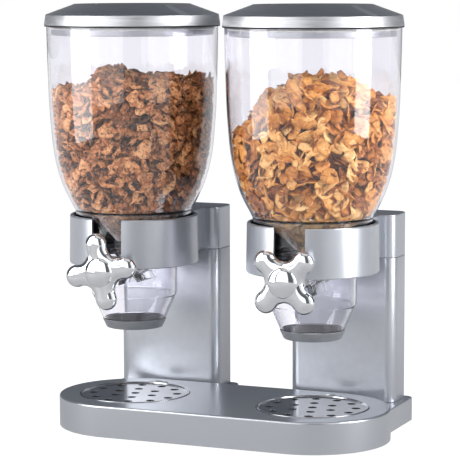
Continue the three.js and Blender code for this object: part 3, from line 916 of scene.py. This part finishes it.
def flake_places(rng, top, spacing):
    """Where flakes lie: two layers along the wall and one over the heap's top. Each is a point,
    the way its face looks, and whether it is in sight."""
    lowest, highest = 176.5, 330.0
    places = []
    for depth, room, tries, lean in ((0.8, spacing, 16000, 0.65), (7.5, spacing * 1.2, 7000, 1.2)):
        spread = Spread(room)
        for _ in range(tries):
            angle = rng.uniform(0, 2 * math.pi)
            z = lowest + (highest - lowest) * rng.random()
            radius = cereal_wall(z) - depth - rng.uniform(-0.5, 2.0)
            x, y = radius * math.cos(angle), radius * math.sin(angle)
            if z > top(x, y) - 2 or not spread.take((x, y, z)):
                continue
            normal = Vector((math.cos(angle), math.sin(angle), 0.15))
            normal += Vector([rng.gauss(0, lean) for _ in range(3)])
            places.append((x, y, z, normal, depth < 5))
    spread = Spread(spacing * 0.9)
    for _ in range(5000):
        radius = 72 * math.sqrt(rng.random())
        angle = rng.uniform(0, 2 * math.pi)
        x, y = radius * math.cos(angle), radius * math.sin(angle)
        z = top(x, y) - rng.uniform(-2.0, 6.0)
        if spread.take((x, y, z)):
            normal = Vector((0, 0, 1)) + Vector([rng.gauss(0, 0.6) for _ in range(3)])
            places.append((x, y, z, normal, True))
    return places


def painted_shade_core(top):
    """The heap's middle, painted dark as shade, which stops sight from passing between the flakes.
    """
    around, step, lowest, levels = 48, 6, 180, 28
    points, faces = [], []
    for level in range(levels):
        z = lowest + step * level
        radius = max(6.0, cereal_wall(z) - 12)
        for k in range(around):
            angle = 2 * math.pi * k / around
            x, y = radius * math.cos(angle), radius * math.sin(angle)
            points.append((x, y, min(z, top(x, y) - 10)))
    points += [(0, 0, lowest), (0, 0, top(0, 0) - 8)]
    for k in range(around):
        n = (k + 1) % around
        for level in range(levels - 1):
            a, b = level * around, (level + 1) * around
            faces.append((a + k, a + n, b + n, b + k))
        last = (levels - 1) * around
        faces.append((n, k, len(points) - 2))
        faces.append((last + k, last + n, len(points) - 1))
    return np.array(points), faces


def make_cereal(side, seed, size, thick, curl, jag, spacing):
    """Flakes packed against the hopper's wall and over the heap's top, round a core painted dark as
    shade; the hidden inner flakes are painted darker as shade, and the flakes low in the funnel are
    painted lighter as light.
    """
    rng = random.Random(seed)
    top = heap(side)
    fine = [flake_shape(rng, curl, thick, jag, 11, 3) for _ in range(26)]
    coarse = [flake_shape(rng, curl, thick, jag, 8, 2) for _ in range(10)]
    core, core_faces = painted_shade_core(top)
    # Painted shade: the core takes a tone of 0.02
    points, faces, tones = [core], list(core_faces), [np.full(len(core), 0.02)]
    count = len(core)
    for x, y, z, normal, seen in flake_places(rng, top, spacing):
        shape, shape_faces, rim_tones = rng.choice(fine if seen else coarse)
        scale = size * rng.uniform(0.55, 1.25)
        local = (shape * scale) @ turn_to(normal, rng.uniform(0, 6.28)).T + (x, y, z)
        local[:, 2] = np.maximum(local[:, 2], PADDLE_TOP + 0.8)
        limit = np.array([cereal_wall(h) for h in local[:, 2]]) - 0.3
        over = float((np.hypot(local[:, 0], local[:, 1]) - limit).max())
        if over > 0:
            inward = min(over, 5.0) / max(math.hypot(x, y), 1e-6)
            local[:, 0] -= x * inward
            local[:, 1] -= y * inward
            radial = np.hypot(local[:, 0], local[:, 1])
            shrink = np.minimum(1.0, limit / np.maximum(radial, 1e-6))
            local[:, 0] *= shrink
            local[:, 1] *= shrink
        points.append(local)
        faces += [tuple(count + i for i in f) for f in shape_faces]
        # Painted shade: hidden flakes take a low tone of 0.12; painted light: flakes below 204 mm
        # are raised by 0.45
        tones.append(rim_tones + (rng.gauss(0.62, 0.25) if seen else 0.12) + 0.45 * (z < 204))
        count += len(local)

    mesh = bpy.data.meshes.new(f"cereal_{side}")
    mesh.from_pydata((np.concatenate(points) * MM).tolist(), [], faces)
    mesh.validate()
    mesh.shade_smooth()
    attribute = mesh.attributes.new("tone", "FLOAT", "POINT")
    attribute.data.foreach_set("value", np.clip(np.concatenate(tones), 0, 1).astype(np.float32))
    piece = bpy.data.objects.new(f"cereal_{side}", mesh)
    bpy.context.scene.collection.objects.link(piece)
    return piece


def heap(side):
    """The height of the cereal's top over a point, as it lies in the hopper."""
    across = Vector((0.919, 0.395))
    stations = {
        "left": [(-1.0, 306), (-0.62, 307), (-0.3, 323), (0.2, 315), (0.6, 317), (1.0, 315)],
        "right": [(-1.0, 262), (-0.8, 277), (-0.5, 303), (-0.1, 319), (0.35, 318), (0.7, 303),
                  (1.0, 297)],
    }[side]

    def top(x, y):
        s = max(-1.0, min(1.0, (x * across.x + y * across.y) / 75))
        for (s0, z0), (s1, z1) in zip(stations, stations[1:]):
            if s <= s1:
                t = (s - s0) / (s1 - s0)
                ripple = 2.2 * math.sin(x * 0.16 + 1.3) * math.cos(y * 0.13)
                return z0 + (z1 - z0) * t * t * (3 - 2 * t) + ripple
        return stations[-1][1]

    return top


# ---- Assembly ----

platform = place(make_platform(), platform_grey, "stand", "platform_grey", "base_platform")
# Painted shade: the walls and floor of each well under its tray are made near-black
repaint(platform, dark_plastic, lambda at: WELL_FLOOR - 1 < at.z < BASE_TOP - 1.5 and min(
    math.hypot(at.x - x, at.y - AXIS_Y) for x in UNIT_X.values()) < WELL_R + 0.5)

for side, unit_x in UNIT_X.items():
    axis = (unit_x, AXIS_Y, 0)
    shaft = (unit_x, AXIS_Y, KNOB_Z)
    canister, agitator = f"canister_{side}", f"agitator_{side}"
    lid, tray = f"lid_{side}", f"tray_{side}"
    turn = KNOB_TURN[side]

    place(make_foot(side), silver, "stand", "silver_paint", f"column_foot_{side}", at=axis)
    place(tube(f"column_body_{side}", column_outline, COLUMN_WALL, FOOT_TOP + 0.3, SEAM_Z - 0.3),
          silver, "stand", "silver_paint", f"column_{side}", at=axis)
    bracket = place(make_bracket(side), silver, "stand", "silver_paint",
                    f"collar_bracket_{side}", at=axis)
    # Painted shade: the collar's inner bore is made near-black
    repaint(bracket, painted_shade_plastic, lambda at: math.hypot(at.x, at.y) < 56)

    place(make_hopper(side), clear, canister, "clear_plastic", f"hopper_{side}", at=axis)
    place(make_funnel(side), clear_inner, canister, "clear_plastic", f"funnel_{side}", at=axis)
    place(make_chute(side), clear, canister, "clear_plastic", f"chute_{side}", at=axis)
    outlet = place(make_outlet(side), grey_plastic, canister, "grey_plastic",
                   f"outlet_ring_{side}", at=axis)
    # Painted shade: the outlet ring's inner wall is made near-black
    repaint(outlet, painted_shade_plastic, lambda at: math.hypot(at.x, at.y) < 26.2 and at.z > 93)
    place(make_bush(side, "front", -1, 60.2, False), pale_plastic, canister, "grey_plastic",
          f"front_bush_{side}", at=shaft)
    place(make_bush(side, "rear", 1, 44.5, True), pale_plastic, canister, "grey_plastic",
          f"rear_bush_{side}", at=shaft)

    place(make_hub(side), pale_plastic, agitator, "grey_plastic", f"paddle_hub_{side}",
          at=shaft, turn=turn)
    place(make_paddle(side), clear_silicone, agitator, "silicone", f"paddle_wheel_{side}",
          at=shaft, turn=turn)
    place(make_shaft(side), screw_steel, agitator, "steel_screw", f"drive_shaft_{side}",
          at=shaft, turn=turn)
    place(make_knob(side), chrome, agitator, "chrome_plated", f"knob_{side}", at=shaft, turn=turn)
    place(make_knob_cap(side), chrome, agitator, "chrome_plated", f"knob_cap_{side}",
          at=shaft, turn=turn)

    place(make_lid(side), steel_ring, lid, "brushed_metal", f"lid_shell_{side}", at=axis)
    place(make_plug(side), plug_steel, lid, "brushed_metal", f"lid_plug_{side}", at=axis)
    place(make_seal(side), silicone, lid, "silicone", f"lid_seal_{side}", at=axis)
    # Painted shade: a near-black ring stands for the shadowed gap under the lid's edge
    place(make_painted_gap_shade(side), rubber, lid, "foot_rubber", at=axis)
    plate = place(make_tray(side), tray_steel, tray, "brushed_metal", f"crumb_tray_{side}", at=axis)
    # Painted shade: the walls of the tray's holes are made near-black
    repaint(plate, dark_plastic, lambda at: math.hypot(at.x, at.y) < 46 and at.z < 29.1)

    for spot, (x, y) in PAD_AT.items():
        place(make_pad(spot, side), rubber, "stand", "foot_rubber", f"rubber_foot_{spot}_{side}",
              at=(unit_x + x, AXIS_Y + y, 0))

bran_fill = make_cereal("left", 7, 8.6, 0.16, 0.24, 0.3, 7.0)
place(bran_fill, bran, "canister_left", "grey_plastic", at=(UNIT_X["left"], AXIS_Y, 0))
corn_fill = make_cereal("right", 11, 9.0, 0.06, 0.26, 0.12, 7.0)
place(corn_fill, corn, "canister_right", "grey_plastic", at=(UNIT_X["right"], AXIS_Y, 0))

for name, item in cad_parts.items():
    if not item.hide_render:
        item.data.materials.clear()
        item.data.materials.append(screw_steel if "screw" in name else dark_plastic)


# ---- Stage ----

def look_matrix(position, yaw, pitch, roll):
    """A camera's matrix: yaw turns it from +Y towards +X, pitch lifts it, roll leans it."""
    right = Vector((math.cos(yaw), -math.sin(yaw), 0))
    ahead = Vector((math.sin(yaw) * math.cos(pitch), math.cos(yaw) * math.cos(pitch),
                    math.sin(pitch)))
    up = right.cross(ahead)
    across = right * math.cos(roll) + up * math.sin(roll)
    above = up * math.cos(roll) - right * math.sin(roll)
    turned = Matrix((across, above, -ahead)).transposed().to_4x4()
    return Matrix.Translation(position) @ turned


camera = bpy.data.objects.new("camera", bpy.data.cameras.new("camera"))
bpy.context.scene.collection.objects.link(camera)
bpy.context.scene.camera = camera
camera.data.lens = CAMERA_LENS
camera.data.shift_x, camera.data.shift_y = CAMERA_SHIFT
camera.data.clip_end = 50.0
camera.matrix_world = look_matrix(Vector(CAMERA_AT) * MM, *CAMERA_AIM)


def in_plain_sight(tree):
    """1 where the stage is seen directly or through clear plastic, 0 in reflections."""
    path = node(tree, "ShaderNodeLightPath")
    return node(tree, "ShaderNodeMath", {
        0: path.outputs["Is Camera Ray"], 1: path.outputs["Is Transmission Ray"],
    }, operation="MAXIMUM").outputs[0]


floor_half = 6.0
floor_mesh = bpy.data.meshes.new("floor")
floor_mesh.from_pydata([(-floor_half, -floor_half, 0), (floor_half, -floor_half, 0),
                        (floor_half, floor_half, 0), (-floor_half, floor_half, 0)],
                       [], [(0, 1, 2, 3)])
floor = bpy.data.objects.new("floor", floor_mesh)
bpy.context.scene.collection.objects.link(floor)
floor_material, floor_tree, floor_shader = new_material("floor_paper", Roughness=0.9)
floor_shader.inputs["Specular IOR Level"].default_value = 0.1
floor_shader.inputs["Base Color"].default_value = (0.2, 0.2, 0.2, 1)
floor_shader.inputs["Emission Color"].default_value = (1, 1, 1, 1)
reach = node(floor_tree, "ShaderNodeVectorMath", {0: object_coords(floor_tree)},
             operation="LENGTH").outputs["Value"]
glow = remap(floor_tree, reach, 0.25, 1.5, 0.36, 0.62)
brighter = node(floor_tree, "ShaderNodeMath", {0: in_plain_sight(floor_tree), 1: glow},
                operation="MAXIMUM").outputs[0]
floor_tree.links.new(brighter, floor_shader.inputs["Emission Strength"])
floor_mesh.materials.append(floor_material)


def softbox(name, position, target, width, height, power):
    light = bpy.data.lights.new(name, "AREA")
    light.shape = "RECTANGLE"
    light.size, light.size_y = width, height
    light.energy = power
    lamp = bpy.data.objects.new(name, light)
    bpy.context.scene.collection.objects.link(lamp)
    lamp.location = position
    lamp.rotation_euler = (Vector(target) - Vector(position)).to_track_quat("-Z", "Y").to_euler()
    return lamp


def panel(name, azimuth, distance, width, height, low, radiance):
    """An upright softbox facing the object, azimuth degrees round from the camera's side."""
    bearing = math.radians(23.3 + azimuth)
    middle = low + height / 2
    position = (distance * math.sin(bearing), -distance * math.cos(bearing), middle)
    softbox(name, position, (0, 0, middle), width, height, radiance * math.pi * width * height)


panel("left_key", -72, 0.95, 0.5, 1.45, 0.085, 4.4)
panel("left_fill", -34, 1.5, 1.15, 1.6, 0.1, 1.3)
panel("right_fill", 37, 1.5, 0.9, 1.6, 0.1, 0.8)
panel("right_key", 64, 1.1, 0.42, 1.45, 0.085, 7.5)
softbox("top", (0.2, -0.5, 1.9), (0, 0, 0), 1.6, 1.2, 0.6 * math.pi * 1.6 * 1.2)

world = bpy.data.worlds.new("studio")
bpy.context.scene.world = world
world.use_nodes = True
sky = world.node_tree
backdrop = sky.nodes["Background"]
direction = node(sky, "ShaderNodeTexCoord").outputs["Generated"]
along = node(sky, "ShaderNodeSeparateXYZ", {0: direction})
front_share = remap(sky, along.outputs["Y"], -0.6, 0.5, 1.0, 0.0)
studio = mixed(sky, front_share, (0.11, 0.12, 0.14, 1), (0.13, 0.14, 0.15, 1))
white = (1.0, 1.0, 1.0, 1)
sky.links.new(mixed(sky, in_plain_sight(sky), studio, white), backdrop.inputs["Color"])
backdrop.inputs["Strength"].default_value = 1.0

bpy.context.scene.view_settings.view_transform = "Standard"
